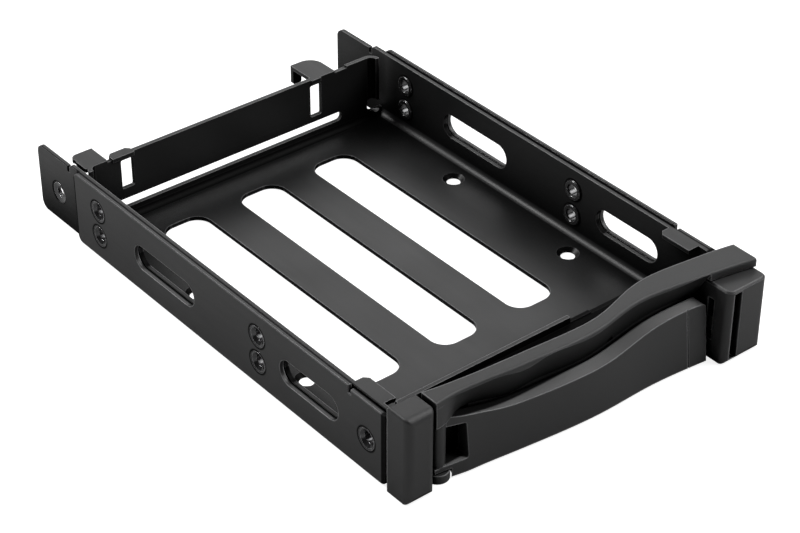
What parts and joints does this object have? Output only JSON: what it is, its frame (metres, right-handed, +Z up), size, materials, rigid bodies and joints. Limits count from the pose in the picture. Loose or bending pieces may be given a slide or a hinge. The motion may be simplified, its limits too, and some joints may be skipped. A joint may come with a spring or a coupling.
{
  "type": "hot swap drive caddy",
  "caption": "Black folded steel drive tray with slotted base, side rails, rear hooks and ears, and a moulded front with a hinged ejector lever and sprung release latch.",
  "frame": {"origin": "bottom centre of the whole caddy's bounding box, on the surface that it lies on", "axes": "+Z up, -Y towards the lever, +Y towards the fixing ears, +X to the right as seen from the lever"},
  "size_m": [0.1092, 0.1708, 0.025],
  "materials": {
    "coated_steel": "satin black powder coat on folded sheet",
    "blackened_fittings": "blackened steel, slightly shinier than the sheet",
    "front_plastic": "fine grained black moulding",
    "lever_plastic": "fine grained black moulding, smoother at the grip",
    "latch_plastic": "plain black moulding",
    "plain_steel": "plain drawn steel"
  },
  "bodies": {
    "tray": {"tray_pan": "coated_steel", "left_rail": "coated_steel", "right_rail": "coated_steel", "left_rail_eyelets": "blackened_fittings", "right_rail_eyelets": "blackened_fittings", "left_ear_bush": "blackened_fittings", "right_ear_bush": "blackened_fittings", "left_cap_screw": "blackened_fittings", "bezel_screws": "blackened_fittings", "housing_screw": "blackened_fittings", "left_end_cap": "front_plastic", "bezel_frame": "front_plastic", "latch_housing": "front_plastic", "latch_retainer": "front_plastic", "lever_pin": "plain_steel", "latch_spring": "plain_steel"},
    "lever": {"ejector_lever": "lever_plastic"},
    "latch": {"release_latch": "latch_plastic"}
  },
  "joints": [
    {"name": "lever_pivot", "type": "hinge", "parent": "tray", "child": "lever", "pos_m": [-0.042, -0.0728, 0.01], "axis": [0, 0, -1], "range_deg": [0, 75]},
    {"name": "latch_slide", "type": "slide", "parent": "tray", "child": "latch", "axis": [0, 0, -1], "range_m": [0, 0.003], "stiffness_N_per_m": 300, "springref_m": -0.001, "deforming": ["latch_spring"]}
  ]
}
